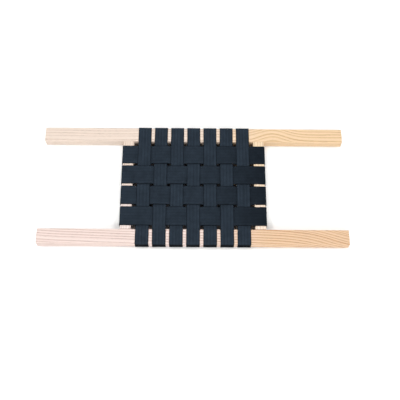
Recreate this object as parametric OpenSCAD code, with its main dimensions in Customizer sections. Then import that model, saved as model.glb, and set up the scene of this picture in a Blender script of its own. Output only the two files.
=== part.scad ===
// Webbed seat frame: two long rails, two cross rails, dowels, woven webbing and staples.
// X runs along the long rails, +Y to the back rail and +Z up. The origin is the middle of the
// footprint, on the plane that the undersides of the rail ends stand on.

/* [Frame] */
// Length of each long rail
rail_length = 582; // [420:1:900]
// Front to back size of the frame, over both long rails
frame_depth = 241; // [236:1:260]
// Width of a long rail, seen from above
rail_width = 29; // [28:0.5:33]
// Thickness of the long rails
rail_thickness = 19; // [17:0.5:24]
// Distance over the two cross rails' outer faces
cross_span = 274.4; // [268:0.2:300]
// Width of a cross rail, seen from above
cross_width = 21; // [19:0.5:22]
// Radius of the eased long edges of all rails
edge_radius = 2; // [1:0.25:3]
// Chamfer round the end of a long rail
end_chamfer = 0.8; // [0.4:0.1:1.5]
// Depth of the flat relief under the rails where the webbing ends are stapled
relief_depth = 1.6; // [1.6:0.1:2.2]
// How far the relief runs past the cross rails on each side
relief_margin = 4; // [2:0.5:10]

/* [Webbing] */
// Width of the front to back straps
warp_width = 25.4; // [23:0.2:26]
// Distance between the middles of neighbouring front to back straps
warp_pitch = 31.8; // [31:0.1:32.5]
// Width of the side to side straps
weft_width = 38.1; // [36:0.1:39]
// Distance between the middles of neighbouring side to side straps
weft_pitch = 42.6; // [41:0.1:43]
// How far the side to side straps sit off the middle, towards the front rail
weft_shift = 1.9; // [0:0.1:3]
// Thickness of the webbing
web_thickness = 1.3; // [1:0.05:1.35]
// Length of the webbing end under a long rail
warp_tab = 25; // [20:0.5:27]
// Length of the webbing end under a cross rail
weft_tab = 18; // [15:0.5:18]

/* [Joints and staples] */
// Diameter of the dowels that join the rails
dowel_diameter = 6; // [5:0.5:7]
// Length of a dowel
dowel_length = 36; // [30:1:44]
// Distance between the two dowels of one joint
dowel_spacing = 10; // [8:0.5:11]
// Width of a staple's crown
staple_crown = 10; // [8:0.5:10]
// Length of a staple's legs
staple_leg = 6; // [4:0.5:6]

/* [Hidden] */
warp_count = 7;
weft_count = 4;
// The gap that keeps webbing off the wood, and the distance between two crossing layers
web_gap = 0.05;
web_layer = web_thickness + 2 * web_gap;
// A strap stays level this far past the edge of the strap that it crosses
level_margin = 0.4;

half_depth = frame_depth / 2;
half_cross = cross_span / 2;
inner_depth = frame_depth - 2 * rail_width;
cross_thickness = rail_thickness - relief_depth;
relief_length = cross_span + 2 * relief_margin;

// Staples are flat wire. The crown is sunk into the webbing and stands a little proud of it
staple_wire = 1.2;
staple_flat = 0.7;
staple_proud = 0.2;
staple_foot = relief_depth - web_gap - web_thickness - staple_proud;
staple_fit = 0.02;
staple_pitch = staple_crown + 1.8;
warp_staples = 2;
weft_staples = 3;
// A row of staples sits this far along the webbing end, as a share of its length
staple_share = 0.6;

// The holes are this much deeper than the dowels at each end
dowel_end_room = 0.5;
dowel_middle = relief_depth + cross_thickness / 2;

wood_colour = [0.89, 0.75, 0.58];
dowel_colour = [0.80, 0.66, 0.46];
web_colour = [0.13, 0.15, 0.18];
steel_colour = [0.75, 0.76, 0.78];

arc_fn = 64;
round_fn = 48;

// Straps are counted from the left, and from the back
function warp_x(i) = (i - (warp_count + 1) / 2) * warp_pitch;
function weft_y(k) = ((weft_count + 1) / 2 - k) * weft_pitch - weft_shift;
// A plain weave: 1 where the front to back strap lies on top, -1 where it passes below
function warp_side(i, k) = (i + k) % 2 == 0 ? 1 : -1;

// ---- Wood ----

// A rectangle with rounded corners, standing on v = bottom and centred on u = 0
module eased_section(width, bottom, top) {
    height = top - bottom;
    translate([-width / 2 + edge_radius, bottom])
        square([width - 2 * edge_radius, height]);
    translate([-width / 2, bottom + edge_radius])
        square([width, height - 2 * edge_radius]);
    for (u = [-1, 1])
        for (v = [bottom + edge_radius, top - edge_radius])
            translate([u * (width / 2 - edge_radius), v])
                circle(r = edge_radius, $fn = arc_fn);
}

// A bar along X with eased long edges
module bar_x(length, width, bottom, top) {
    rotate([90, 0, 90])
        linear_extrude(length, center = true)
            eased_section(width, bottom, top);
}

// A bar along Y with eased long edges
module bar_y(length, width, bottom, top) {
    rotate([90, 0, 0])
        linear_extrude(length, center = true)
            eased_section(width, bottom, top);
}

// A rectangle with its corners cut off, centred on the origin
module chamfered_rectangle(length, width) {
    cut = end_chamfer;
    u = length / 2;
    v = width / 2;
    polygon([
        [u - cut, -v], [u, -v + cut], [u, v - cut], [u - cut, v],
        [-u + cut, v], [-u, v - cut], [-u, -v + cut], [-u + cut, -v]
    ]);
}

// One long rail on its centre line, with chamfered ends: full section at both ends, thinner
// over the relief
module long_rail_blank() {
    difference() {
        intersection() {
            bar_x(rail_length, rail_width, 0, rail_thickness);
            linear_extrude(3 * rail_thickness, center = true)
                chamfered_rectangle(rail_length, rail_width);
            translate([0, 0, rail_thickness / 2])
                rotate([90, 0, 0])
                    linear_extrude(3 * rail_width, center = true)
                        chamfered_rectangle(rail_length, rail_thickness);
        }
        translate([0, 0, relief_depth - rail_thickness / 2])
            cube([relief_length, 2 * rail_width, rail_thickness], center = true);
    }
}

// The dowels of one joint. side is -1 on the left and 1 on the right, end is 1 at the back
module dowel_pair(side, end, extra = 0) {
    for (offset = [-dowel_spacing / 2, dowel_spacing / 2])
        translate([side * (half_cross - cross_width / 2) + offset, end * inner_depth / 2, dowel_middle])
            rotate([90, 0, 0])
                cylinder(h = dowel_length + 2 * extra, d = dowel_diameter, center = true, $fn = round_fn);
}

// A long rail, with its dowel holes and the staples' leg holes. end is 1 at the back
module long_rail(end) {
    color(wood_colour)
        difference() {
            translate([0, end * (half_depth - rail_width / 2), 0])
                long_rail_blank();
            for (side = [-1, 1])
                dowel_pair(side, end, dowel_end_room);
            warp_staple_row(end, staple_fit);
        }
}

// A cross rail between the two long rails, with its holes
module cross_rail(side) {
    color(wood_colour)
        difference() {
            translate([side * (half_cross - cross_width / 2), 0, 0])
                bar_y(inner_depth, cross_width, relief_depth, rail_thickness);
            for (end = [-1, 1])
                dowel_pair(side, end, dowel_end_room);
            weft_staple_row(side, staple_fit);
        }
}

module dowels(side, end) {
    color(dowel_colour)
        dowel_pair(side, end);
}

// ---- Staples ----

// One staple, driven up from below, with its crown along X and the legs standing in the wood
module staple(fit) {
    crown = staple_crown + 2 * fit;
    wire = staple_wire + 2 * fit;
    flat = staple_flat + 2 * fit;
    translate([-crown / 2, -wire / 2, staple_foot - fit])
        cube([crown, wire, flat]);
    for (leg = [-1, 1])
        translate([leg * (staple_crown - staple_flat) / 2 - flat / 2, -wire / 2, staple_foot - fit])
            cube([flat, wire, staple_leg + 2 * fit]);
}

// Staples side by side along X, centred on 0
module staple_group(count, fit) {
    for (n = [0 : count - 1])
        translate([(n - (count - 1) / 2) * staple_pitch, 0, 0])
            staple(fit);
}

// Every staple under one long rail
module warp_staple_row(end, fit) {
    for (i = [1 : warp_count])
        warp_staples_at(i, end, fit);
}

module warp_staples_at(i, end, fit) {
    translate([warp_x(i), end * (half_depth - warp_tab * staple_share), 0])
        staple_group(warp_staples, fit);
}

// Every staple under one cross rail
module weft_staple_row(side, fit) {
    for (k = [1 : weft_count])
        weft_staples_at(k, side, fit);
}

module weft_staples_at(k, side, fit) {
    translate([side * (half_cross - weft_tab * staple_share), weft_y(k), 0])
        rotate([0, 0, 90])
            staple_group(weft_staples, fit);
}

// ---- Webbing ----

// The stretch of strap over a rail: across its top, down its outer face and in under it.
// reach is the distance from the middle to that face
module wrap_section(reach, rail, tab) {
    inner = edge_radius + web_gap;
    outer = inner + web_thickness;
    centre_u = reach - edge_radius;
    top_v = rail_thickness - edge_radius;
    bottom_v = relief_depth + edge_radius;
    for (corner = [[top_v, 0], [bottom_v, -outer]])
        intersection() {
            translate([centre_u, corner[0]])
                difference() {
                    circle(r = outer, $fn = arc_fn);
                    circle(r = inner, $fn = arc_fn);
                }
            translate([centre_u, corner[0] + corner[1]])
                square([outer, outer]);
        }
    translate([reach - rail, top_v + inner])
        square([rail - edge_radius, web_thickness]);
    translate([centre_u + inner, bottom_v])
        square([web_thickness, top_v - bottom_v]);
    translate([reach - tab, bottom_v - outer])
        square([tab - edge_radius, web_thickness]);
}

// The level of a strap's middle line along its length, as [distance, height] points.
// crossings lists [middle, side] of each strap that it meets, in order
function strap_line(reach, rail, crossed, crossings) =
    let (high = rail_thickness + web_layer / 2, half = crossed / 2 + level_margin)
    concat(
        [[-reach + rail / 2, high], [-reach + rail, high]],
        [for (c = crossings) each [
            [c[0] - half, rail_thickness + c[1] * web_layer / 2],
            [c[0] + half, rail_thickness + c[1] * web_layer / 2]
        ]],
        [[reach - rail, high], [reach - rail / 2, high]]
    );

// The side view of a whole strap: a line that goes over and under, and a wrap at each end
module strap_section(reach, rail, tab, crossed, crossings) {
    line = strap_line(reach, rail, crossed, crossings);
    last = len(line) - 1;
    polygon(concat(
        [for (p = line) p - [0, web_thickness / 2]],
        [for (n = [last : -1 : 0]) line[n] + [0, web_thickness / 2]]
    ));
    for (end = [0, 1])
        mirror([end, 0])
            wrap_section(reach, rail, tab);
}

// Front to back strap number i
module warp_strap(i) {
    crossings = [for (k = [weft_count : -1 : 1]) [weft_y(k), warp_side(i, k)]];
    color(web_colour)
        difference() {
            translate([warp_x(i), 0, 0])
                rotate([90, 0, 90])
                    linear_extrude(warp_width, center = true)
                        strap_section(half_depth, rail_width, warp_tab, weft_width, crossings);
            for (end = [-1, 1])
                warp_staples_at(i, end, staple_fit);
        }
}

// Side to side strap number k
module weft_strap(k) {
    crossings = [for (i = [1 : warp_count]) [warp_x(i), -warp_side(i, k)]];
    color(web_colour)
        difference() {
            translate([0, weft_y(k), 0])
                rotate([90, 0, 0])
                    linear_extrude(weft_width, center = true)
                        strap_section(half_cross, cross_width, weft_tab, warp_width, crossings);
            for (side = [-1, 1])
                weft_staples_at(k, side, staple_fit);
        }
}

module steel() {
    color(steel_colour)
        children();
}

long_rail(1);  // back_rail
long_rail(-1);  // front_rail
cross_rail(-1);  // left_cross_rail
cross_rail(1);  // right_cross_rail
dowels(-1, 1);  // dowels_back_left
dowels(1, 1);  // dowels_back_right
dowels(-1, -1);  // dowels_front_left
dowels(1, -1);  // dowels_front_right
warp_strap(1);  // warp_strap_1
warp_strap(2);  // warp_strap_2
warp_strap(3);  // warp_strap_3
warp_strap(4);  // warp_strap_4
warp_strap(5);  // warp_strap_5
warp_strap(6);  // warp_strap_6
warp_strap(7);  // warp_strap_7
weft_strap(1);  // weft_strap_1
weft_strap(2);  // weft_strap_2
weft_strap(3);  // weft_strap_3
weft_strap(4);  // weft_strap_4
steel() warp_staple_row(1, 0);  // staples_back_rail
steel() warp_staple_row(-1, 0);  // staples_front_rail
steel() weft_staple_row(-1, 0);  // staples_left_cross_rail
steel() weft_staple_row(1, 0);  // staples_right_cross_rail
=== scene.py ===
import math
import bpy
import numpy as np
from mathutils import Matrix, Vector


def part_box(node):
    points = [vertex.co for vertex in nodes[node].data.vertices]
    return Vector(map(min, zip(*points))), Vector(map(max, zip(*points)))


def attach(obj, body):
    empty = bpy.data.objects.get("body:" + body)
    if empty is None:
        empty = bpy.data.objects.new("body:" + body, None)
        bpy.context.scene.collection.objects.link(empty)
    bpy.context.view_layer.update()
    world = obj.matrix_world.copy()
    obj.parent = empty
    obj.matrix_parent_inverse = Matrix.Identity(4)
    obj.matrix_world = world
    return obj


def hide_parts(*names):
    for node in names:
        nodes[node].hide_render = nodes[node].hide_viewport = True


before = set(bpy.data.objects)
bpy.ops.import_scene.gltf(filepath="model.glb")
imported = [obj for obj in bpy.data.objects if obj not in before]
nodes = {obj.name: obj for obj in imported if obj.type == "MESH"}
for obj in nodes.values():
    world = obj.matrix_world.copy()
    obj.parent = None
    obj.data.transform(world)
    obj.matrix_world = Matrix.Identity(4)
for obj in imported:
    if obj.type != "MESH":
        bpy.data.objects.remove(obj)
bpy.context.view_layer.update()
print("frame loaded:", len(nodes), "nodes")

# Everything is in metres, in the frame's own axes: X along the rails, Y to the back rail, Z up.
mm = 0.001


def srgb(hexValue):
    # An sRGB hex colour as linear red, green, blue and alpha: the sRGB curve undone channel by channel
    channels = [int(hexValue[i:i + 2], 16) / 255 for i in (1, 3, 5)]
    return [c / 12.92 if c <= 0.04045 else ((c + 0.055) / 1.055) ** 2.4 for c in channels] + [1.0]


def addNode(tree, kind, settings=None, inputs=None):
    # Adds one node. Settings are its own properties. An input is a value, or the socket that feeds it
    node = tree.nodes.new(kind)
    for name, value in (settings or {}).items():
        setattr(node, name, value)
    for name, value in (inputs or {}).items():
        if isinstance(value, bpy.types.NodeSocket):
            tree.links.new(value, node.inputs[name])
        else:
            node.inputs[name].default_value = value
    return node


def smoothRise(t):
    # 0 below 0, 1 above 1, and the curve 3t^2 - 2t^3 between them
    t = np.clip(t, 0, 1)
    return t * t * (3 - 2 * t)


def makeMesh(name, points, faces, material, smooth=True):
    # A mesh object at the origin, unturned, from points in metres and faces that list them
    mesh = bpy.data.meshes.new(name)
    mesh.from_pydata(points, [], faces)
    mesh.polygons.foreach_set("use_smooth", np.full(len(mesh.polygons), smooth))
    mesh.materials.append(material)
    mesh.update()
    piece = bpy.data.objects.new(name, mesh)
    bpy.context.scene.collection.objects.link(piece)
    return piece


def centreOf(name):
    # Halfway between the two corners of a node's box
    low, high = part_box(name)
    return (low + high) / 2


# Measures taken from the frame
backLow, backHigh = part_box("back_rail")
crossLow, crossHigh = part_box("right_cross_rail")
railTop = backHigh.z
reliefTop = crossLow.z  # the underside that the webbing ends lie against
longRail = {"reach": backHigh.y, "width": backHigh.y - backLow.y}
crossRail = {"reach": crossHigh.x, "width": crossHigh.x - crossLow.x}
warpNames = ["warp_strap_%d" % n for n in range(1, 8)]  # front to back, counted from the left
weftNames = ["weft_strap_%d" % n for n in range(1, 5)]  # side to side, counted from the back
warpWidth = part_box(warpNames[0])[1].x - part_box(warpNames[0])[0].x
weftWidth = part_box(weftNames[0])[1].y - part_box(weftNames[0])[0].y


cameraView = {
    "elevation": 67.1,  # degrees above the floor
    "yaw": 1.08,  # degrees that the view turns to the right of straight back
    "roll": 1.38,  # degrees
    "distance": 1.4216,
    "aim": (0.01269, -0.03275, railTop),
    "lens": 67.52,  # on a 36 mm sensor
}


def placeCamera(v):
    # The view direction from its two angles, right and up rolled about it, and the place that lies
    # the distance back from the point aimed at
    e, a, r = (math.radians(v[k]) for k in ("elevation", "yaw", "roll"))
    forward = Vector((math.sin(a) * math.cos(e), math.cos(a) * math.cos(e), -math.sin(e)))
    right = Vector((math.cos(a), -math.sin(a), 0))
    up = right.cross(forward)
    right, up = right * math.cos(r) + up * math.sin(r), up * math.cos(r) - right * math.sin(r)
    data = bpy.data.cameras.new("camera")
    data.lens = v["lens"]
    data.sensor_width = 36
    data.clip_start = 0.01
    camera = bpy.data.objects.new("camera", data)
    turn = Matrix((right, up, -forward)).transposed().to_4x4()
    camera.matrix_world = Matrix.Translation(Vector(v["aim"]) - forward * v["distance"]) @ turn
    bpy.context.scene.collection.objects.link(camera)
    bpy.context.scene.camera = camera


placeCamera(cameraView)
print("camera placed")


webbingLook = {
    "yarn": "#2a333d",  # blue-black charcoal, dyed in the yarn
    "groove": "#151b21",  # between yarns, where little light gets in
    "burnt": "#0a0c0e",  # the heat-cut end
    "panels": 4,  # lengthwise panels in the narrower strap
    "rib": 1.7,  # mm from one slanting rib to the next
    "end": 0.85,  # mm from one lengthwise yarn to the next
    "endHeight": 0.45,  # of a lengthwise yarn, where a rib's height is 1
    "lineDepth": 0.7,  # of the line between two panels, on the same scale
    "lineHalf": 0.9,  # mm, half that line's width
    "fuzzHeight": 0.5,  # of loose fibre ends, on the same scale
    "paintedLightFall": (-150.0, 150.0, 1.07, 1.03),  # mm from left to right, and the tone at each end: painted light, as from a lamp at the left
    "crownTones": (0.95, 1.04),  # beside the line between two panels, and in a panel's middle
    "streakTones": (0.9, 1.1),  # of the darkest and the palest yarns
    "dustTones": (0.85, 1.15),  # of the darkest and the palest patches
    "edgeShadeTone": 0.12,  # painted shade on a strap's outermost yarns, along each edge
    "paintedShadeTone": 0.13,  # painted shade on the stretch down a rail's outer face, darkest at the bottom
    "relief": 0.1,  # mm, depth of the weave
    "rough": (0.78, 0.95),  # from the smoothest to the roughest place
    "burntRough": 0.3,  # melted and set
}
wideLook = dict(webbingLook, lineDepth=0.5, paintedLightFall=(15.0, 130.0, 0.97, 0.5), crownTones=(0.98, 1.02),
                streakTones=(0.95, 1.05))  # painted light, as from a lamp at the left: the wider straps darken towards the right
panel = warpWidth / webbingLook["panels"] / mm  # mm, the same in both widths


def polyesterWebbing(name, look):
    # Polyester webbing, loom-woven in herringbone panels: matt, blue-black, with slanting ribs that turn
    # back at each panel and a fine dark line between panels. Its yarns shade one another, so that it
    # reflects far less than a smooth plastic. Real ribs are about 1.2 mm apart. They are drawn at 1.7 mm
    # so that they show.
    material = bpy.data.materials.new(name)
    material.use_nodes = True
    tree = material.node_tree
    shader = tree.nodes["Principled BSDF"]
    uv = addNode(tree, "ShaderNodeUVMap", {"uv_map": "millimetres"})
    axes = addNode(tree, "ShaderNodeSeparateXYZ", None, {0: uv.outputs["UV"]})
    across, along = axes.outputs["X"], axes.outputs["Y"]
    # Slanting ribs: a sine of along + a zigzag of across
    zigzag = addNode(tree, "ShaderNodeMath", {"operation": "PINGPONG"}, {0: across, 1: panel})
    slant = addNode(tree, "ShaderNodeMath", {"operation": "ADD"}, {0: zigzag.outputs[0], 1: along})
    ribTurn = addNode(tree, "ShaderNodeMath", {"operation": "MULTIPLY"},
                      {0: slant.outputs[0], 1: 2 * math.pi / look["rib"]})
    rib = addNode(tree, "ShaderNodeMath", {"operation": "SINE"}, {0: ribTurn.outputs[0]})
    yarnTurn = addNode(tree, "ShaderNodeMath", {"operation": "MULTIPLY"},
                       {0: across, 1: 2 * math.pi / look["end"]})
    yarn = addNode(tree, "ShaderNodeMath", {"operation": "COSINE"}, {0: yarnTurn.outputs[0]})
    weave = addNode(tree, "ShaderNodeMath", {"operation": "MULTIPLY_ADD"},
                    {0: yarn.outputs[0], 1: look["endHeight"], 2: rib.outputs[0]})
    # Distance from the nearest line between two panels, and the line itself: 1 on it and 0 away from it
    fromLine = addNode(tree, "ShaderNodeMath", {"operation": "PINGPONG"}, {0: across, 1: panel / 2})
    line = addNode(tree, "ShaderNodeMapRange", {"interpolation_type": "SMOOTHSTEP"},
                   {"Value": fromLine.outputs[0], "From Min": 0.0, "From Max": look["lineHalf"],
                    "To Min": 1.0, "To Max": 0.0})
    height = addNode(tree, "ShaderNodeMath", {"operation": "MULTIPLY_ADD"},
                     {0: line.outputs[0], 1: -look["lineDepth"], 2: weave.outputs[0]})
    place = addNode(tree, "ShaderNodeTexCoord")
    # Loose fibre ends
    fuzz = addNode(tree, "ShaderNodeTexNoise", None,
                   {"Vector": place.outputs["Object"], "Scale": 1800.0, "Detail": 2.0})
    # How deep a place lies in the weave, from 0.1 in the grooves to 1 on the ribs
    depth = addNode(tree, "ShaderNodeMapRange", None,
                    {"Value": height.outputs[0], "From Min": -2.2, "From Max": 1.2,
                     "To Min": 0.1, "To Max": 1.0})
    shade = addNode(tree, "ShaderNodeMix", {"data_type": "RGBA"},
                    {"Factor": depth.outputs[0], "A": srgb(look["groove"]), "B": srgb(look["yarn"])})
    # Tones that multiply the colour: dust in patches 10 to 30 mm wide, lengthwise yarns from different
    # bobbins, each panel paler along its middle, painted light that falls off from left to right, painted
    # shade along each edge, and painted shade down a rail's outer face
    patches = addNode(tree, "ShaderNodeTexNoise", None,
                      {"Vector": place.outputs["Object"], "Scale": 55.0, "Detail": 3.0, "Roughness": 0.65})
    dust = addNode(tree, "ShaderNodeMapRange", None,
                   {"Value": patches.outputs["Fac"], "From Min": 0.3, "From Max": 0.7,
                    "To Min": look["dustTones"][0], "To Max": look["dustTones"][1]})
    bobbinPlace = addNode(tree, "ShaderNodeMapping", {"vector_type": "POINT"},
                          {"Vector": uv.outputs["UV"], "Scale": (0.55, 0.012, 1.0)})
    bobbins = addNode(tree, "ShaderNodeTexNoise", None,
                      {"Vector": bobbinPlace.outputs[0], "Scale": 1.0, "Detail": 2.0})
    streaks = addNode(tree, "ShaderNodeMapRange", None,
                      {"Value": bobbins.outputs["Fac"], "From Min": 0.3, "From Max": 0.7,
                       "To Min": look["streakTones"][0], "To Max": look["streakTones"][1]})
    crown = addNode(tree, "ShaderNodeMapRange", {"interpolation_type": "SMOOTHSTEP"},
                    {"Value": fromLine.outputs[0], "From Min": 0.0, "From Max": panel / 2,
                     "To Min": look["crownTones"][0], "To Max": look["crownTones"][1]})
    sides = addNode(tree, "ShaderNodeSeparateXYZ", None, {0: place.outputs["Object"]})
    # Painted light, as from a lamp at the left: the tone falls from left to right
    leftX, rightX, leftTone, rightTone = look["paintedLightFall"]
    paintedLightFall = addNode(tree, "ShaderNodeMapRange", None,
                    {"Value": sides.outputs["X"], "From Min": leftX * mm, "From Max": rightX * mm,
                     "To Min": leftTone, "To Max": rightTone})
    # Painted shade along each strap's edges
    edge = addNode(tree, "ShaderNodeAttribute", {"attribute_name": "selvedge"})
    edgeShadeTone = addNode(tree, "ShaderNodeMapRange", None,
                       {"Value": edge.outputs["Fac"], "To Min": 1.0, "To Max": look["edgeShadeTone"]})
    # Painted shade down a rail's outer face, darkest at the bottom
    paintedShade = addNode(tree, "ShaderNodeAttribute", {"attribute_name": "paintedShade"})
    paintedShadeTone = addNode(tree, "ShaderNodeMapRange", None,
                       {"Value": paintedShade.outputs["Fac"], "To Min": 1.0, "To Max": look["paintedShadeTone"]})
    tone = dust.outputs[0]
    for other in (streaks, crown, paintedLightFall, edgeShadeTone, paintedShadeTone):
        product = addNode(tree, "ShaderNodeMath", {"operation": "MULTIPLY"}, {0: tone, 1: other.outputs[0]})
        tone = product.outputs[0]
    toned = addNode(tree, "ShaderNodeVectorMath", {"operation": "SCALE"},
                    {0: shade.outputs["Result"], "Scale": tone})
    burnt = addNode(tree, "ShaderNodeAttribute", {"attribute_name": "heatCut"})
    colour = addNode(tree, "ShaderNodeMix", {"data_type": "RGBA"},
                     {"Factor": burnt.outputs["Fac"], "A": toned.outputs[0], "B": srgb(look["burnt"])})
    rough = addNode(tree, "ShaderNodeMapRange", None,
                    {"Value": fuzz.outputs["Fac"], "From Min": 0.3, "From Max": 0.7,
                     "To Min": look["rough"][0], "To Max": look["rough"][1]})
    cutRough = addNode(tree, "ShaderNodeMix", {"data_type": "FLOAT"},
                       {"Factor": burnt.outputs["Fac"], "A": rough.outputs[0], "B": look["burntRough"]})
    relief = addNode(tree, "ShaderNodeMath", {"operation": "MULTIPLY_ADD"},
                     {0: fuzz.outputs["Fac"], 1: look["fuzzHeight"], 2: height.outputs[0]})
    bump = addNode(tree, "ShaderNodeBump", None,
                   {"Strength": 0.6, "Distance": look["relief"] * mm, "Height": relief.outputs[0]})
    tree.links.new(colour.outputs["Result"], shader.inputs["Base Color"])
    tree.links.new(cutRough.outputs["Result"], shader.inputs["Roughness"])
    tree.links.new(bump.outputs["Normal"], shader.inputs["Normal"])
    shader.inputs["IOR"].default_value = 1.5
    shader.inputs["Specular IOR Level"].default_value = 0.02
    shader.inputs["Sheen Weight"].default_value = 0.02
    shader.inputs["Sheen Roughness"].default_value = 0.4
    shader.inputs["Sheen Tint"].default_value = srgb("#c8d4e6")
    return material


def ashWood(name, board):
    # European ash, planed and bare: pale, satin, with a coarse brown line of open pores at the start of
    # each year's growth. The rings are shells round a pith line beside or below the board, so that the
    # top, the sides and the end grain all agree. They are 4 to 4.3 mm apart, as on a fast-grown tree.
    material = bpy.data.materials.new(name)
    material.use_nodes = True
    tree = material.node_tree
    shader = tree.nodes["Principled BSDF"]
    place = addNode(tree, "ShaderNodeTexCoord")
    # Grain that wanders slowly along the board
    sway = addNode(tree, "ShaderNodeMapping", {"vector_type": "POINT"},
                   {"Vector": place.outputs["Object"], "Location": board["seed"], "Scale": (1.0, 3.0, 3.0)})
    swayNoise = addNode(tree, "ShaderNodeTexNoise", None,
                        {"Vector": sway.outputs[0], "Scale": 6.0, "Detail": 1.0, "Roughness": 0.4})
    swayed = addNode(tree, "ShaderNodeMath", {"operation": "MULTIPLY"},
                     {0: swayNoise.outputs["Fac"], 1: board["sway"] * mm})
    axes = addNode(tree, "ShaderNodeSeparateXYZ", None, {0: place.outputs["Object"]})
    x, y, z = (axes.outputs[k] for k in "XYZ")
    # A hump where the grain runs round a branch: height * e^(-((x - place) / width)^2)
    fromHump = addNode(tree, "ShaderNodeMath", {"operation": "SUBTRACT"}, {0: x, 1: board["humpAt"] * mm})
    overWidth = addNode(tree, "ShaderNodeMath", {"operation": "DIVIDE"},
                        {0: fromHump.outputs[0], 1: board["humpWidth"] * mm})
    squared = addNode(tree, "ShaderNodeMath", {"operation": "MULTIPLY"},
                      {0: overWidth.outputs[0], 1: overWidth.outputs[0]})
    minus = addNode(tree, "ShaderNodeMath", {"operation": "MULTIPLY"}, {0: squared.outputs[0], 1: -1.0})
    bell = addNode(tree, "ShaderNodeMath", {"operation": "EXPONENT"}, {0: minus.outputs[0]})
    hump = addNode(tree, "ShaderNodeMath", {"operation": "MULTIPLY_ADD"},
                   {0: bell.outputs[0], 1: board["humpHeight"] * mm, 2: swayed.outputs[0]})
    # Sideways and upward distance to the pith line, which slopes along the board
    slope = addNode(tree, "ShaderNodeMath", {"operation": "MULTIPLY_ADD"},
                    {0: x, 1: board["slopeY"], 2: board["pithY"] * mm})
    sideBase = addNode(tree, "ShaderNodeMath", {"operation": "SUBTRACT"}, {0: y, 1: slope.outputs[0]})
    side = addNode(tree, "ShaderNodeMath", {"operation": "SUBTRACT"},
                   {0: sideBase.outputs[0], 1: hump.outputs[0]})
    slopeUp = addNode(tree, "ShaderNodeMath", {"operation": "MULTIPLY_ADD"},
                      {0: x, 1: board["slopeZ"], 2: board["pithZ"] * mm})
    rise = addNode(tree, "ShaderNodeMath", {"operation": "SUBTRACT"}, {0: z, 1: slopeUp.outputs[0]})
    flat = addNode(tree, "ShaderNodeCombineXYZ", None, {"X": side.outputs[0], "Y": rise.outputs[0]})
    radius = addNode(tree, "ShaderNodeVectorMath", {"operation": "LENGTH"}, {0: flat.outputs[0]})
    # Good and bad years: the ring width changes slowly outwards
    years = addNode(tree, "ShaderNodeTexNoise", {"noise_dimensions": "1D"},
                    {"W": radius.outputs["Value"], "Scale": 110.0, "Detail": 1.0})
    uneven = addNode(tree, "ShaderNodeMath", {"operation": "MULTIPLY_ADD"},
                     {0: years.outputs["Fac"], 1: board["yearsVary"] * mm, 2: radius.outputs["Value"]})
    # Small waviness of each ring
    ripple = addNode(tree, "ShaderNodeMapping", {"vector_type": "POINT"},
                     {"Vector": place.outputs["Object"], "Scale": (9.0, 60.0, 60.0)})
    rippleNoise = addNode(tree, "ShaderNodeTexNoise", None,
                          {"Vector": ripple.outputs[0], "Scale": 1.0, "Detail": 3.0, "Roughness": 0.55})
    wavy = addNode(tree, "ShaderNodeMath", {"operation": "MULTIPLY_ADD"},
                   {0: rippleNoise.outputs["Fac"], 1: board["ripple"] * mm, 2: uneven.outputs[0]})
    count = addNode(tree, "ShaderNodeMath", {"operation": "DIVIDE"},
                    {0: wavy.outputs[0], 1: board["ring"] * mm})
    year = addNode(tree, "ShaderNodeMath", {"operation": "FRACT"}, {0: count.outputs[0]})
    # One year, from 0 at the pore line's colour to 1 at the pale wood's
    growth = addNode(tree, "ShaderNodeValToRGB", None, {"Fac": year.outputs[0]})
    ramp = growth.color_ramp
    ramp.interpolation = "EASE"
    for position, grey in board["year"][1:-1]:
        ramp.elements.new(position)
    for stop, (position, grey) in zip(ramp.elements, board["year"]):
        stop.position = position
        stop.color = (grey, grey, grey, 1)
    # Fibres: streaks about 0.5 mm wide and 40 mm long
    fibre = addNode(tree, "ShaderNodeMapping", {"vector_type": "POINT"},
                    {"Vector": place.outputs["Object"], "Scale": (12.0, 900.0, 900.0)})
    fibreNoise = addNode(tree, "ShaderNodeTexNoise", None,
                         {"Vector": fibre.outputs[0], "Scale": 1.6, "Detail": 3.0, "Roughness": 0.6})
    # Pores: dark dashes about 0.3 mm wide and 5 mm long, thickest in the pore line
    pore = addNode(tree, "ShaderNodeMapping", {"vector_type": "POINT"},
                   {"Vector": place.outputs["Object"], "Scale": (160.0, 2600.0, 2600.0)})
    poreNoise = addNode(tree, "ShaderNodeTexNoise", None,
                        {"Vector": pore.outputs[0], "Scale": 1.0, "Detail": 1.0})
    poreLimit = addNode(tree, "ShaderNodeMapRange", None,
                        {"Value": growth.outputs["Color"],
                         "To Min": board["poreLimits"][0], "To Max": board["poreLimits"][1]})
    poreDepth = addNode(tree, "ShaderNodeMath", {"operation": "SUBTRACT"},
                        {0: poreNoise.outputs["Fac"], 1: poreLimit.outputs[0]})
    poreMask = addNode(tree, "ShaderNodeMapRange", {"interpolation_type": "SMOOTHSTEP"},
                       {"Value": poreDepth.outputs[0], "From Min": 0.0, "From Max": 0.05})
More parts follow.
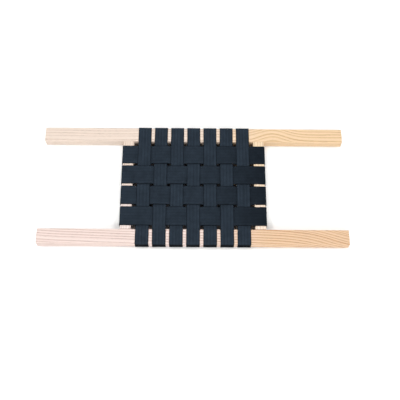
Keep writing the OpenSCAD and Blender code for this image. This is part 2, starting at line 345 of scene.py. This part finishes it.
    # The board goes from one colour at its left end to another at its right. On the long rails this change
    # is painted light: the left end paler and pinker, as a lamp at the left overexposes it
    shift = addNode(tree, "ShaderNodeMapRange", {"interpolation_type": "SMOOTHSTEP"},
                    {"Value": x, "From Min": board["paleTo"] * mm, "From Max": board["tanFrom"] * mm})
    late = addNode(tree, "ShaderNodeMix", {"data_type": "RGBA"},
                   {"Factor": shift.outputs[0], "A": srgb(board["paleLine"]), "B": srgb(board["tanLine"])})
    early = addNode(tree, "ShaderNodeMix", {"data_type": "RGBA"},
                    {"Factor": shift.outputs[0], "A": srgb(board["pale"]), "B": srgb(board["tan"])})
    ringed = addNode(tree, "ShaderNodeMix", {"data_type": "RGBA"},
                     {"Factor": growth.outputs["Color"],
                      "A": late.outputs["Result"], "B": early.outputs["Result"]})
    streak = addNode(tree, "ShaderNodeMapRange", None,
                     {"Value": fibreNoise.outputs["Fac"], "From Min": 0.3, "From Max": 0.7,
                      "To Min": board["fibreTones"][0], "To Max": board["fibreTones"][1]})
    poreTone = addNode(tree, "ShaderNodeMapRange", None,
                       {"Value": poreMask.outputs[0], "To Min": 1.0, "To Max": board["poreTone"]})
    tone = addNode(tree, "ShaderNodeMath", {"operation": "MULTIPLY"},
                   {0: streak.outputs[0], 1: poreTone.outputs[0]})
    toned = addNode(tree, "ShaderNodeVectorMath", {"operation": "SCALE"},
                    {0: ringed.outputs["Result"], "Scale": tone.outputs[0]})
    rough = addNode(tree, "ShaderNodeMapRange", None,
                    {"Value": growth.outputs["Color"],
                     "To Min": board["rough"][0], "To Max": board["rough"][1]})
    hollow = addNode(tree, "ShaderNodeMath", {"operation": "MULTIPLY_ADD"},
                     {0: poreMask.outputs[0], 1: -board["poreDepth"], 2: fibreNoise.outputs["Fac"]})
    bump = addNode(tree, "ShaderNodeBump", None,
                   {"Strength": 0.35, "Distance": board["relief"] * mm, "Height": hollow.outputs[0]})
    tree.links.new(toned.outputs[0], shader.inputs["Base Color"])
    tree.links.new(rough.outputs[0], shader.inputs["Roughness"])
    tree.links.new(bump.outputs["Normal"], shader.inputs["Normal"])
    shader.inputs["IOR"].default_value = 1.46
    return material


plainBoard = {
    "seed": (0.0, 0.0, 0.0),  # another seed is another board
    "sway": 6.0,  # mm that the grain wanders
    "humpAt": 0.0, "humpWidth": 60.0, "humpHeight": 0.0,  # mm
    "pithY": 0.0, "pithZ": -70.0,  # mm, where the tree's middle runs
    "slopeY": 0.0, "slopeZ": 0.0,  # mm per mm, its slope along the board
    "ring": 4.0,  # mm from one year's ring to the next
    "yearsVary": 4.0, "ripple": 2.0,  # mm that rings shift in good and bad years, and of small waviness
    "year": ((0.12, 0.0), (0.3, 0.85), (0.55, 1.0), (0.85, 0.62), (1.0, 1.0)),  # share of a year, and tone
    "fibreTones": (0.94, 1.05), "poreTone": 0.72,  # that multiply the colour
    "poreLimits": (0.52, 0.7),  # noise above this is a pore, in the pore line and in the pale wood
    "poreDepth": 1.5,  # where a fibre's height is 1
    "relief": 0.06,  # mm
    "rough": (0.62, 0.48),  # of the pore line and of the pale wood
    "paleTo": -20.0, "tanFrom": 150.0,  # mm along the board, where the change of colour, painted light, starts and ends
    # pale and paleLine: the left end, paled by painted light; tan and tanLine: the right end
    "pale": "#d7c7ba", "paleLine": "#c3ab99",
    "tan": "#dcbf9b", "tanLine": "#c39f74",
}
backBoard = dict(plainBoard, seed=(3.1, 0.4, 0.0), pithY=50.0, pithZ=-38.0, ring=4.1,
                 humpAt=155.0, humpWidth=34.0, humpHeight=14.0, paleLine="#c9b4a4")
frontBoard = dict(plainBoard, seed=(7.7, 1.9, 0.0), pithY=-178.0, pithZ=-30.0, ring=4.3, slopeY=-0.045,
                  humpAt=320.0, humpWidth=80.0, humpHeight=-24.0,
                  pale="#dccbc4", paleLine="#bd9f95", tan="#d6b797", tanLine="#b4865d")
# Along a cross rail, pale and paleLine are at the back end, and tan and tanLine at the front end
crossBoard = dict(plainBoard, seed=(1.2, 5.5, 0.0), pithY=0.0, pithZ=-60.0, paleTo=-80.0, tanFrom=80.0)
# Painted light: the left cross rail's paler, pinker colours and the right one's warmer ones follow the long
# rails' pale left ends; both are set pale so that the narrow gaps between the straps, which lie in shade,
# look bright
leftBoard = dict(crossBoard, pale="#d7c5b6", paleLine="#c8b3a3", tan="#ddcec9", tanLine="#cfbcb4")
rightBoard = dict(crossBoard, pale="#e1c9a9", paleLine="#d0b38e", tan="#e6d3c3", tanLine="#d6bda6")

narrowWebbing = polyesterWebbing("polyesterWebbingNarrow", webbingLook)
wideWebbing = polyesterWebbing("polyesterWebbingWide", wideLook)
print("webbing dyed: 2 widths")


def turnedAsh(name, board):
    # The same wood with its grain along Y, for a cross rail: a quarter turn makes the back end the left
    material = ashWood(name, board)
    tree = material.node_tree
    place = next(n for n in tree.nodes if n.bl_idname == "ShaderNodeTexCoord")
    mapping = addNode(tree, "ShaderNodeMapping", {"vector_type": "POINT"},
                      {"Rotation": (0.0, 0.0, math.pi / 2)})
    users = [link.to_socket for link in tree.links if link.from_node == place]
    for socket in users:
        tree.links.new(mapping.outputs[0], socket)
    tree.links.new(place.outputs["Object"], mapping.inputs["Vector"])
    return material


railWood = {
    "back_rail": ashWood("ashPlanedBack", backBoard),
    "front_rail": ashWood("ashPlanedFront", frontBoard),
    "left_cross_rail": turnedAsh("ashPlanedLeft", leftBoard),
    "right_cross_rail": turnedAsh("ashPlanedRight", rightBoard),
}


dowelLook = {"wood": "#d6ac80", "fleck": "#a9784f", "relief": 0.05}  # relief in mm


def beechDowel(look):
    # Beech, turned: pink-brown, with dark flecks about 0.7 mm wide and 4 mm long
    material = bpy.data.materials.new("beechTurned")
    material.use_nodes = True
    tree = material.node_tree
    shader = tree.nodes["Principled BSDF"]
    place = addNode(tree, "ShaderNodeTexCoord")
    fleck = addNode(tree, "ShaderNodeMapping", {"vector_type": "POINT"},
                    {"Vector": place.outputs["Object"], "Scale": (1500.0, 250.0, 1500.0)})
    flecks = addNode(tree, "ShaderNodeTexNoise", None,
                     {"Vector": fleck.outputs[0], "Scale": 1.0, "Detail": 2.0})
    tone = addNode(tree, "ShaderNodeMapRange", None,
                   {"Value": flecks.outputs["Fac"], "From Min": 0.55, "From Max": 0.7})
    colour = addNode(tree, "ShaderNodeMix", {"data_type": "RGBA"},
                     {"Factor": tone.outputs[0], "A": srgb(look["wood"]), "B": srgb(look["fleck"])})
    bump = addNode(tree, "ShaderNodeBump", None,
                   {"Strength": 0.3, "Distance": look["relief"] * mm, "Height": flecks.outputs["Fac"]})
    tree.links.new(colour.outputs["Result"], shader.inputs["Base Color"])
    tree.links.new(bump.outputs["Normal"], shader.inputs["Normal"])
    shader.inputs["Roughness"].default_value = 0.55
    return material


wireLook = {"bright": "#c9cccf", "dull": "#9fa3a8", "relief": 0.03}  # relief in mm


def galvanisedWire(look):
    # Steel staple wire, drawn flat and galvanised: bright grey, with dull patches of zinc 1 to 2 mm wide
    material = bpy.data.materials.new("steelWireGalvanised")
    material.use_nodes = True
    tree = material.node_tree
    shader = tree.nodes["Principled BSDF"]
    place = addNode(tree, "ShaderNodeTexCoord")
    patches = addNode(tree, "ShaderNodeTexNoise", None,
                      {"Vector": place.outputs["Object"], "Scale": 700.0, "Detail": 3.0})
    colour = addNode(tree, "ShaderNodeMix", {"data_type": "RGBA"},
                     {"Factor": patches.outputs["Fac"], "A": srgb(look["bright"]), "B": srgb(look["dull"])})
    rough = addNode(tree, "ShaderNodeMapRange", None,
                    {"Value": patches.outputs["Fac"], "To Min": 0.22, "To Max": 0.5})
    bump = addNode(tree, "ShaderNodeBump", None,
                   {"Strength": 0.2, "Distance": look["relief"] * mm, "Height": patches.outputs["Fac"]})
    tree.links.new(colour.outputs["Result"], shader.inputs["Base Color"])
    tree.links.new(rough.outputs[0], shader.inputs["Roughness"])
    tree.links.new(bump.outputs["Normal"], shader.inputs["Normal"])
    shader.inputs["Metallic"].default_value = 1.0
    return material


def dressNode(name, material):
    # A frame node keeps its mesh and gets its one material
    slots = nodes[name].data.materials
    slots.clear()
    slots.append(material)


for railName, material in railWood.items():
    dressNode(railName, material)
dowelWood = beechDowel(dowelLook)
for name in nodes:
    if name.startswith("dowels"):
        dressNode(name, dowelWood)
print("wood dressed: 4 rails and 8 dowels")


stapleShape = {
    "crown": 10.0,  # mm over the outsides of the legs
    "pitch": 11.8,  # mm from staple to staple
    "share": 0.6,  # how far along a strap's end the staples sit
    "leg": 6.0,  # mm over the crown
    "wide": 1.2,  # mm, width of the flat wire
    "thick": 0.7,  # mm, thickness of the flat wire
    "bend": 0.75,  # mm, radius of the wire's middle line at its two bends
    "foot": 0.05,  # mm from the floor to the crown's underside
    "chisel": 0.8,  # mm of each leg that is cut to a point
    "point": 0.25,  # thickness left there, as a share
    "corners": 5,  # power of the superellipse that rounds the wire's corners
}


def stapleMesh():
    # A flat wire's rounded rectangle, a superellipse, carried along a path: down one leg, a quarter
    # circle, along the crown, a quarter circle and up the other leg. The legs are cut to a chisel.
    s = stapleShape
    half = (s["crown"] - s["thick"]) / 2
    low = s["foot"] + s["thick"] / 2
    top = s["foot"] + s["leg"]
    turn = np.linspace(0, math.pi / 2, 6)
    b = s["bend"]
    leftArc = np.stack([-half + b - b * np.cos(turn), low + b - b * np.sin(turn)], axis=-1)
    rightArc = np.stack([half - b + b * np.sin(turn), low + b - b * np.cos(turn)], axis=-1)
    shoulder = top - s["chisel"]
    path = np.concatenate([[[-half, top], [-half, shoulder]], leftArc, rightArc,
                           [[half, shoulder], [half, top]]])
    tangent = np.gradient(path, axis=0)
    tangent /= np.linalg.norm(tangent, axis=1)[:, None]
    normal = np.stack([tangent[:, 1], -tangent[:, 0]], axis=-1)
    corner = np.linspace(0, 2 * math.pi, 16, endpoint=False) + math.pi / 16
    power = 2 / s["corners"]
    ringAcross = s["wide"] / 2 * np.sign(np.cos(corner)) * np.abs(np.cos(corner)) ** power
    ringOut = s["thick"] / 2 * np.sign(np.sin(corner)) * np.abs(np.sin(corner)) ** power
    taper = np.ones(len(path))
    taper[[0, -1]] = s["point"]
    out = ringOut[None, :] * taper[:, None]
    points = np.stack([path[:, None, 0] + normal[:, None, 0] * out,
                       np.broadcast_to(ringAcross[None, :], out.shape),
                       path[:, None, 1] + normal[:, None, 1] * out], axis=-1) * mm
    rows, columns = points.shape[:2]
    index = np.arange(rows * columns).reshape(rows, columns)
    nextColumn = np.roll(index, -1, axis=1)
    quads = np.stack([index[:-1], index[1:], nextColumn[1:], nextColumn[:-1]], axis=-1).reshape(-1, 4)
    caps = [index[0].tolist(), index[-1][::-1].tolist()]
    return points.reshape(-1, 3), quads.tolist() + caps


def staplePiece(node, places, turned):
    # One staple's points moved to every place, for all the staples in a rail. Turned, its crown runs
    # along Y instead of along X
    base, wire = stapleMesh()
    if turned:
        base = base[:, [1, 0, 2]] * [-1, 1, 1]
    count = len(base)
    points = np.concatenate([base + [px, py, 0] for px, py in places])
    faces = [[v + n * count for v in face] for n in range(len(places)) for face in wire]
    piece = makeMesh(node.replace("staples", "wire_staples"), points, faces, staplesSteel, smooth=False)
    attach(piece, "root")
    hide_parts(node)


staplesSteel = galvanisedWire(wireLook)


strapShape = {
    "gap": 0.05,  # mm between webbing and wood, as the frame has it
    "bend": 2.0,  # mm, radius of the rails' eased edges
    "margin": 0.25,  # mm that a strap stays level past the strap that it crosses
    "start": 0.6,  # mm over the rail's rounded inner edge where a strap starts to sink
    "arch": 0.1,  # mm that a crossing bulges
    "panelDip": 0.05,  # mm, depth of the line between two panels
    "edgeThin": 0.12,  # share by which the selvedge is thinner
    "wander": 0.12,  # mm that the edges wander sideways
    "acrossStep": 0.75,  # mm
    "alongStep": 0.95,  # mm
    "fineStep": 0.33,  # mm, round bends, crossings' ends and staples
    "fineStaple": 2.2,  # mm either side of a staple with fine steps
    "fineEnd": 0.8,  # mm beside a strap's end with fine steps
    "edgePoints": 7,  # points in a quarter circle of the strap's edge
    "dent": 0.53,  # mm that a staple's crown sinks in
    "dentHalf": 0.75,  # mm, half the dent's flat bottom along the strap
    "dentSlope": (1.1, 0.7),  # mm, the dent's sides along and across the strap
    "thinEdge": 1.8,  # mm from each edge that is thinner
    "plainEdge": 1.0,  # mm beside each edge without a line
    "wanderPitch": 61.0,  # mm from one sideways wave to the next
    "wanderFrom": 60.0,  # mm from an end to where the waves are full
    "endRound": 0.5,  # mm, radius of the heat-cut end
    "endLeast": 0.12,  # square of the thickness left at the very end, as a share
    "heatCut": 1.0,  # mm over which the melted look of the end fades
    "selvedge": 1.1,  # mm over which the painted shade along each edge fades
    "paintedShadeLow": 14.0,  # mm above the floor, where the painted shade down a rail's face is darkest
    "paintedShadeHigh": 19.5,  # mm above the floor, where that painted shade ends
    "paintedShadeUnder": 6.0,  # mm in under the rail, where it ends too
}
warpEnds = {"tab": 25.0, "staples": 2}  # mm in under the rail, and staples in each end
weftEnds = {"tab": 18.0, "staples": 3}
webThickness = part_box(warpNames[0])[1].z - railTop - strapShape["gap"] * mm
webLayer = webThickness + 2 * strapShape["gap"] * mm


def strapPath(rail, crossed, crossings, ends):
    # Half of the path on each side is: in under the rail, a quarter circle, up its face, a quarter
    # circle and across its top. Between the rails the height is the sum of smooth rises from one
    # crossing's level to the next, with a shallow parabola on each crossing.
    s = strapShape
    reach, bend = rail["reach"], s["bend"] * mm
    radius = bend + s["gap"] * mm + webThickness / 2
    centre = reach - bend
    high = railTop + webLayer / 2
    tabInner = reach - ends["tab"] * mm
    step = 0.05 * mm  # far finer than the mesh
    run = np.arange(tabInner, centre, step)
    turn = np.linspace(-math.pi / 2, 0, 120)
    climb = np.arange(reliefTop + bend, railTop - bend, step)[1:]
    wrapU = np.concatenate([run, centre + radius * np.cos(turn), np.full(len(climb), centre + radius),
                            centre + radius * np.cos(turn + math.pi / 2)])
    wrapZ = np.concatenate([np.full(len(run), reliefTop + bend - radius),
                            reliefTop + bend + radius * np.sin(turn),
                            climb, railTop - bend + radius * np.sin(turn + math.pi / 2)])
    middle = np.arange(-centre + step, centre, step)
    half = crossed / 2 + s["margin"] * mm
    edges = [-reach + rail["width"] - s["start"] * mm]
    levels = [high]
    for c, sideUp in crossings:
        edges += [c - half, c + half]
        levels += [railTop + sideUp * webLayer / 2]
    edges += [reach - rail["width"] + s["start"] * mm]
    levels += [high]
    height = np.full(len(middle), high)
    for n in range(len(levels) - 1):
        a, b = edges[2 * n], edges[2 * n + 1]
        height += (levels[n + 1] - levels[n]) * smoothRise((middle - a) / (b - a))
    for c, sideUp in crossings:
        height += sideUp * s["arch"] * mm * np.clip(1 - ((middle - c) / half) ** 2, 0, 1)
    u = np.concatenate([-wrapU, middle, wrapU[::-1]])
    z = np.concatenate([wrapZ, height, wrapZ[::-1]])
    return u, z


def stationsAlong(u, z, ends):
    # Stations lie closer together where the path bends: the wanted step is turned into a density,
    # and the stations are even steps of that density's running sum
    s = strapShape
    length = np.concatenate([[0], np.cumsum(np.hypot(np.diff(u), np.diff(z)))])
    stapleAt = ends["tab"] * mm * (1 - stapleShape["share"])
    slope = np.abs(np.gradient(np.unwrap(np.arctan2(np.gradient(z), np.gradient(u))), length))
    fine = slope > 8.0  # radians per metre, a radius under 125 mm
    for at in (stapleAt, length[-1] - stapleAt):
        fine |= np.abs(length - at) < s["fineStaple"] * mm
    fine |= np.minimum(length, length[-1] - length) < s["fineEnd"] * mm
    fine = np.convolve(fine.astype(float), np.ones(21) / 21, mode="same") > 0  # and 0.5 mm either side
    wanted = np.where(fine, s["fineStep"], s["alongStep"]) * mm
    density = np.concatenate([[0], np.cumsum(np.diff(length) / wanted[1:])])
    count = int(math.ceil(density[-1]))
    at = np.interp(np.linspace(0, density[-1], count + 1), density, length)
    return at, length, stapleAt


def halfProfile(width):
    # The upper half of the cross-section from edge to edge: a quarter circle, the flat, a quarter circle
    s = strapShape
    r = webThickness / 2
    turn = np.linspace(math.pi, math.pi / 2, s["edgePoints"])
    flatCount = int(round((width - 2 * r) / (s["acrossStep"] * mm)))
    flat = np.linspace(-width / 2 + r, width / 2 - r, flatCount + 1)[1:-1]
    w = np.concatenate([-width / 2 + r + r * np.cos(turn), flat, width / 2 - r - r * np.cos(turn[::-1])])
    n = np.concatenate([r * np.sin(turn), np.full(len(flat), r), r * np.sin(turn[::-1])])
    return w, n


def strapPiece(name, number, alongY, rail, width, crossed, crossings, ends):
    # The strap's cross-section carried along its path: point = path + outward * thickness at that
    # place, and width sideways. The thickness is the profile's, less the thin selvedges, the lines
    # between panels, the staples' dents and the rounding of the two ends, and a sine shifts it sideways
    s = strapShape
    u, z = strapPath(rail, crossed, crossings, ends)
    at, length, stapleAt = stationsAlong(u, z, ends)
    pathU, pathZ = np.interp(at, length, u), np.interp(at, length, z)
    tangent = np.stack([np.interp(at, length, np.gradient(path, length)) for path in (u, z)])
    tangent /= np.hypot(*tangent)
    # Outward is the tangent turned a quarter turn, away from the wood
    outU, outZ = -tangent[1], tangent[0]
    w, n = halfProfile(width)
    lower = slice(-2, 0, -1)
    ringW = np.concatenate([w, w[lower]])
    ringN = np.concatenate([n, -n[lower]])
    inner = np.concatenate([np.zeros(len(w), bool), np.ones(len(w) - 2, bool)])
    # Thinner selvedges, and a shallow line between panels
    fromEdge = width / 2 - np.abs(ringW)
    thin = 1 - s["edgeThin"] * (1 - smoothRise(fromEdge / (s["thinEdge"] * mm)))
    line = np.abs(np.cos(math.pi * ringW / (panel * mm))) ** 10
    dip = s["panelDip"] * mm * line * (fromEdge > s["plainEdge"] * mm)
    offset = ringN * thin - np.sign(ringN) * dip
    total = length[-1]
    phase = number * 1.7  # so that no two straps wander alike
    sideways = s["wander"] * mm * np.sin(2 * math.pi * at / (s["wanderPitch"] * mm) + phase)
    fromEnd = np.minimum(at, total - at)
    sideways *= smoothRise(fromEnd / (s["wanderFrom"] * mm))
    # The heat-cut end is rounded off
    endTurn = 1 - np.clip(fromEnd / (s["endRound"] * mm), 0, 1)
    endShape = np.sqrt(np.clip(1 - endTurn ** 2, s["endLeast"], 1))
    grid = offset[None, :] * endShape[:, None]
    # Dents under the staples' crowns, on the outward face of the ends under the rails
    alongSlope, acrossSlope = s["dentSlope"]
    acrossDent = np.zeros(len(ringW))
    for k in range(ends["staples"]):
        crownAt = (k - (ends["staples"] - 1) / 2) * stapleShape["pitch"] * mm
        pastCrown = np.abs(ringW - crownAt) - stapleShape["crown"] / 2 * mm
        acrossDent = np.maximum(acrossDent, 1 - smoothRise(pastCrown / (acrossSlope * mm)))
    pastStaple = np.abs(fromEnd - stapleAt) - s["dentHalf"] * mm
    alongDent = 1 - smoothRise(pastStaple / (alongSlope * mm))
    grid -= np.where(inner, 0, 1)[None, :] * s["dent"] * mm * alongDent[:, None] * acrossDent[None, :]
    alongPos = pathU[:, None] + outU[:, None] * grid
    upPos = pathZ[:, None] + outZ[:, None] * grid
    low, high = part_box(name)
    if alongY:
        middleOf = (low.x + high.x) / 2
        points = np.stack([middleOf + ringW[None, :] + sideways[:, None], alongPos, upPos], axis=-1)
    else:
        middleOf = (low.y + high.y) / 2
        points = np.stack([alongPos, middleOf - ringW[None, :] - sideways[:, None], upPos], axis=-1)
    rows, columns = points.shape[:2]
    index = np.arange(rows * columns).reshape(rows, columns)
    nextColumn = np.roll(index, -1, axis=1)
    # Rows run along the strap and columns round it, and this order turns the faces outwards
    quads = np.stack([index[:-1], nextColumn[:-1], nextColumn[1:], index[1:]], axis=-1).reshape(-1, 4)
    # Each end is closed by quads from the upper edge to the lower, with a triangle at either selvedge
    last = len(w) - 1
    upper = np.arange(1, last)
    under = columns - upper
    caps = []
    for row, turned in ((0, 1), (rows - 1, -1)):
        r = index[row]
        strip = np.stack([r[upper[:-1]], r[under[:-1]], r[under[1:]], r[upper[1:]]], axis=-1)
        triangles = [[r[0], r[under[0]], r[upper[0]]], [r[last], r[upper[-1]], r[under[-1]]]]
        caps += strip[:, ::turned].tolist() + [t[::turned] for t in triangles]
    faces = quads.tolist() + caps
    piece = makeMesh(name.replace("strap", "webbing"), points.reshape(-1, 3), faces,
                     narrowWebbing if alongY else wideWebbing)
    mesh = piece.data
    corner = np.empty(len(mesh.loops), np.int32)
    mesh.loops.foreach_get("vertex_index", corner)
    # The pattern's place on the strap in millimetres: across it and along it
    across = np.broadcast_to(ringW[None, :], (rows, columns)).reshape(-1) / mm
    along = np.broadcast_to(at[:, None], (rows, columns)).reshape(-1) / mm
    uv = mesh.uv_layers.new(name="millimetres")
    uv.data.foreach_set("uv", np.stack([across[corner], along[corner]], axis=-1).astype(np.float32).ravel())
    # Painted shade along each edge: 1 at the edge, fading inwards
    selvedge = 1 - smoothRise(fromEdge / (s["selvedge"] * mm))
    heat = 1 - smoothRise((fromEnd - s["endRound"] * mm) / (s["heatCut"] * mm))
    # Painted shade: 1 down the rail's outer face, fading upwards, and inwards below
    paintedShadeUp = (pathZ - s["paintedShadeLow"] * mm) / ((s["paintedShadeHigh"] - s["paintedShadeLow"]) * mm)
    paintedShadeIn = (np.abs(pathU) - rail["reach"]) / (s["paintedShadeUnder"] * mm) + 1
    paintedShade = (1 - smoothRise(paintedShadeUp)) * smoothRise(paintedShadeIn)
    for attributeName, values in (("selvedge", np.broadcast_to(selvedge[None, :], (rows, columns))),
                                  ("paintedShade", np.broadcast_to(paintedShade[:, None], (rows, columns))),
                                  ("heatCut", np.broadcast_to(heat[:, None], (rows, columns)))):
        layer = mesh.attributes.new(attributeName, "FLOAT", "POINT")
        layer.data.foreach_set("value", values.astype(np.float32).ravel())
    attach(piece, "root")
    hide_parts(name)
    return piece


def sideOf(i, k):
    # Plain weave: 1 where front-to-back strap i is on top of side-to-side strap k, and -1 where it is below
    return 1 if (i + k) % 2 == 0 else -1


for i, name in enumerate(warpNames, 1):
    crossings = [(centreOf(weftNames[k - 1]).y, sideOf(i, k)) for k in range(4, 0, -1)]
    strapPiece(name, i, True, longRail, warpWidth, weftWidth, crossings, warpEnds)
for k, name in enumerate(weftNames, 1):
    crossings = [(centreOf(warpNames[i - 1]).x, -sideOf(i, k)) for i in range(1, 8)]
    strapPiece(name, k + 9, False, crossRail, weftWidth, warpWidth, crossings, weftEnds)
print("straps woven: 11")


# Each strap's end has its staples in a row across it
pitch = stapleShape["pitch"] * mm
for node, sign in (("staples_back_rail", 1), ("staples_front_rail", -1)):
    row = sign * (longRail["reach"] - warpEnds["tab"] * stapleShape["share"] * mm)
    places = [(centreOf(n).x + (k - 0.5) * pitch, row) for n in warpNames for k in range(2)]
    staplePiece(node, places, False)
for node, sign in (("staples_right_cross_rail", 1), ("staples_left_cross_rail", -1)):
    row = sign * (crossRail["reach"] - weftEnds["tab"] * stapleShape["share"] * mm)
    places = [(row, centreOf(n).y + (k - 1) * pitch) for n in weftNames for k in range(3)]
    staplePiece(node, places, True)
print("staples driven: 52")


stageLook = {
    "floor": "#fefefd",
    "floorSize": 5.0,  # m
    "sky": 0.22,  # brightness overhead
    "horizon": 1.0,  # brightness of the walls
}
softboxes = [
    # name, place in metres, size in metres, power in watts
    ("softboxLeft", (-2.4, 0.4, 3.6), 1.5, 72.0),
    ("softboxRight", (2.4, 0.4, 3.6), 1.5, 63.0),
    ("softboxBack", (0.0, 2.75, 3.75), 1.75, 50.0),
    ("softboxFront", (0.0, -3.5, 2.75), 2.0, 126.0),
]


def makeFloor(look):
    # Painted board, matt: a square at height 0, nearly white
    material = bpy.data.materials.new("floorPaintedMatt")
    material.use_nodes = True
    shader = material.node_tree.nodes["Principled BSDF"]
    shader.inputs["Base Color"].default_value = srgb(look["floor"])
    shader.inputs["Roughness"].default_value = 0.9
    shader.inputs["Specular IOR Level"].default_value = 0.1
    h = look["floorSize"] / 2
    corners = [(-h, -h, 0), (h, -h, 0), (h, h, 0), (-h, h, 0)]
    floor = makeMesh("floor", corners, [(0, 1, 2, 3)], material, False)


def makeLights(boxes):
    # Square softboxes, each turned towards the origin
    for name, place, size, power in boxes:
        data = bpy.data.lights.new(name, "AREA")
        data.shape = "SQUARE"
        data.size = size
        data.energy = power
        light = bpy.data.objects.new(name, data)
        light.location = place
        light.rotation_euler = (Vector((0, 0, 0)) - Vector(place)).to_track_quat("-Z", "Y").to_euler()
        bpy.context.scene.collection.objects.link(light)


makeFloor(stageLook)
makeLights(softboxes)


def makeRoom(look):
    # Even light from all round: bright walls up to 9 degrees above the floor, and a dimmer ceiling
    world = bpy.data.worlds.new("paleRoom")
    world.use_nodes = True
    tree = world.node_tree
    background = tree.nodes["Background"]
    towards = addNode(tree, "ShaderNodeTexCoord")
    axes = addNode(tree, "ShaderNodeSeparateXYZ", None, {0: towards.outputs["Generated"]})
    strength = addNode(tree, "ShaderNodeMapRange", None,
                       {"Value": axes.outputs["Z"], "From Min": 0.15, "From Max": 0.3,
                        "To Min": look["horizon"], "To Max": look["sky"]})
    tree.links.new(strength.outputs[0], background.inputs["Strength"])
    background.inputs["Color"].default_value = (1.0, 1.0, 1.0, 1.0)
    bpy.context.scene.world = world


makeRoom(stageLook)
bpy.context.scene.view_settings.view_transform = "Standard"
print("stage lit")
